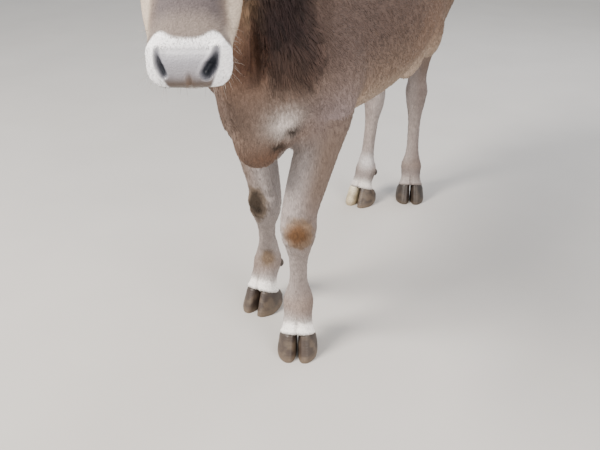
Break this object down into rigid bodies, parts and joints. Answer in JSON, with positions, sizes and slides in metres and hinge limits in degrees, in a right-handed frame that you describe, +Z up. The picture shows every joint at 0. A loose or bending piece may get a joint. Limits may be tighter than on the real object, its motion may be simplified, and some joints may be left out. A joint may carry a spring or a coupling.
{
  "type": "standing young cattle",
  "caption": "Life-size still model of a young brown mountain-breed bovine standing on its four hooves, head turned to its left.",
  "frame": {"origin": "on the floor, in the middle of the animal's box", "axes": "+Z up, -Y the way the body faces, +X the animal's left"},
  "size_m": [0.4206, 1.6932, 1.1498],
  "materials": {
    "coat": "short soft coat",
    "pale_coat": "short pale coat",
    "switch_hair": "long hair",
    "hoof_horn": "worn horn",
    "horn": "smooth horn",
    "eye": "wet, glossy"
  },
  "bodies": {
    "root": {"ear_left": "coat", "ear_right": "coat", "eye_left": "eye", "eye_right": "eye", "foreleg_left_claw_inner": "hoof_horn", "foreleg_left_claw_outer": "hoof_horn", "foreleg_left_dewclaw_inner": "hoof_horn", "foreleg_left_dewclaw_outer": "hoof_horn", "foreleg_left_lower": "pale_coat", "foreleg_left_upper": "coat", "foreleg_right_claw_inner": "hoof_horn", "foreleg_right_claw_outer": "hoof_horn", "foreleg_right_dewclaw_inner": "hoof_horn", "foreleg_right_dewclaw_outer": "hoof_horn", "foreleg_right_lower": "pale_coat", "foreleg_right_upper": "coat", "forelock": "switch_hair", "head": "coat", "hindleg_left_claw_inner": "hoof_horn", "hindleg_left_claw_outer": "hoof_horn", "hindleg_left_dewclaw_inner": "hoof_horn", "hindleg_left_dewclaw_outer": "hoof_horn", "hindleg_left_lower": "pale_coat", "hindleg_left_upper": "coat", "hindleg_right_claw_inner": "hoof_horn", "hindleg_right_claw_outer": "hoof_horn", "hindleg_right_dewclaw_inner": "hoof_horn", "hindleg_right_dewclaw_outer": "hoof_horn", "hindleg_right_lower": "pale_coat", "hindleg_right_upper": "coat", "horn_left": "horn", "horn_right": "horn", "neck": "coat", "tail": "coat", "tail_switch": "switch_hair", "torso": "coat"}
  },
  "joints": []
}
